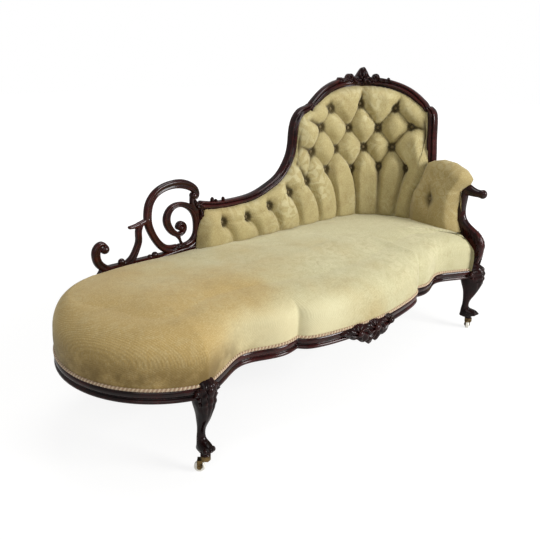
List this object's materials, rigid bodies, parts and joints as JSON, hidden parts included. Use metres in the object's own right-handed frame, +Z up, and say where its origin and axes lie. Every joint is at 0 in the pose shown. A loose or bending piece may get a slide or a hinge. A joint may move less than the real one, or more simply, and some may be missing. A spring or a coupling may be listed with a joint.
{
  "type": "fainting couch",
  "caption": "Serpentine fainting couch with a buttoned back that wraps the head corner, a carved crest, an open scroll, cabriole front legs and castors",
  "frame": {"origin": "on the floor under the middle of the couch", "axes": "+X from the foot end to the head end, +Y to the rear, +Z up; metres"},
  "size_m": [1.765, 0.7035, 1.081],
  "materials": {
    "show_wood": "deep red-brown polished hardwood, nearly black in the hollows",
    "carved_wood": "carved hardwood, dark polish with worn high spots",
    "frame_wood": "raw beech frame timber, sawn",
    "damask": "gold-green woven cloth with a diagonal rib and a faint leaf pattern",
    "braid": "twisted cream and rose gimp",
    "horsehair": "curled hair stuffing",
    "hessian": "coarse open weave",
    "jute_web": "woven jute strap",
    "spring_steel": "copper-washed spring wire, dulled",
    "castor_brass": "aged brass, dark in the corners",
    "ceramic": "glazed white ceramic"
  },
  "bodies": {
    "couch": {"arm_button": "damask", "arm_cover": "damask", "arm_rail": "frame_wood", "arm_stuffing": "horsehair", "arm_support": "show_wood", "back_buttons": "damask", "back_cover": "damask", "back_posts": "frame_wood", "back_sacking": "hessian", "back_scroll": "show_wood", "back_stuffing": "horsehair", "bottom_lining": "hessian", "castor_cup_front_foot": "castor_brass", "castor_cup_front_head": "castor_brass", "castor_cup_rear_foot": "castor_brass", "castor_cup_rear_head": "castor_brass", "corner_blocks": "frame_wood", "crest_carving": "carved_wood", "crest_rail": "show_wood", "cross_rails": "frame_wood", "foot_rail": "show_wood", "foot_scroll": "carved_wood", "front_cartouche": "carved_wood", "front_rail": "show_wood", "gimp_braid": "braid", "head_rail": "show_wood", "leg_front_foot": "show_wood", "leg_front_head": "show_wood", "leg_rear_foot": "show_wood", "leg_rear_head": "show_wood", "outside_arm_cover": "damask", "outside_back_cover": "damask", "rear_rail": "show_wood", "right_upright": "show_wood", "scroll_board": "show_wood", "scroll_knot": "carved_wood", "seat_cover": "damask", "seat_hessian": "hessian", "seat_springs": "spring_steel", "seat_stuffing": "horsehair", "seat_webbing": "jute_web", "sweep_buds": "carved_wood", "sweep_rail": "show_wood"},
    "fork_front_foot": {"castor_fork_front_foot": "castor_brass", "castor_axle_front_foot": "castor_brass"},
    "wheel_front_foot": {"castor_wheel_front_foot": "ceramic"},
    "fork_front_head": {"castor_fork_front_head": "castor_brass", "castor_axle_front_head": "castor_brass"},
    "wheel_front_head": {"castor_wheel_front_head": "ceramic"},
    "fork_rear_foot": {"castor_fork_rear_foot": "castor_brass", "castor_axle_rear_foot": "castor_brass"},
    "wheel_rear_foot": {"castor_wheel_rear_foot": "ceramic"},
    "fork_rear_head": {"castor_fork_rear_head": "castor_brass", "castor_axle_rear_head": "castor_brass"},
    "wheel_rear_head": {"castor_wheel_rear_head": "ceramic"}
  },
  "joints": [
    {"name": "swivel_front_foot", "type": "hinge", "parent": "couch", "child": "fork_front_foot", "pos_m": [-0.6325, -0.284, 0.039], "axis": [0, 0, 1], "continuous": true},
    {"name": "roll_front_foot", "type": "hinge", "parent": "fork_front_foot", "child": "wheel_front_foot", "pos_m": [-0.64473, -0.27219, 0.016], "axis": [0.6947, 0.7193, 0], "continuous": true},
    {"name": "swivel_front_head", "type": "hinge", "parent": "couch", "child": "fork_front_head", "pos_m": [0.8295, -0.284, 0.039], "axis": [0, 0, 1], "continuous": true},
    {"name": "roll_front_head", "type": "hinge", "parent": "fork_front_head", "child": "wheel_front_head", "pos_m": [0.84343, -0.27425, 0.016], "axis": [0.5736, -0.8192, 0], "continuous": true},
    {"name": "swivel_rear_foot", "type": "hinge", "parent": "couch", "child": "fork_rear_foot", "pos_m": [-0.6325, 0.319, 0.039], "axis": [0, 0, 1], "continuous": true},
    {"name": "roll_rear_foot", "type": "hinge", "parent": "fork_rear_foot", "child": "wheel_rear_foot", "pos_m": [-0.61576, 0.32195, 0.016], "axis": [0.1736, -0.9848, 0], "continuous": true},
    {"name": "swivel_rear_head", "type": "hinge", "parent": "couch", "child": "fork_rear_head", "pos_m": [0.77397, 0.24047, 0.039], "axis": [0, 0, 1], "continuous": true},
    {"name": "roll_rear_head", "type": "hinge", "parent": "fork_rear_head", "child": "wheel_rear_head", "pos_m": [0.7904, 0.23608, 0.016], "axis": [-0.2588, -0.9659, 0], "continuous": true}
  ]
}
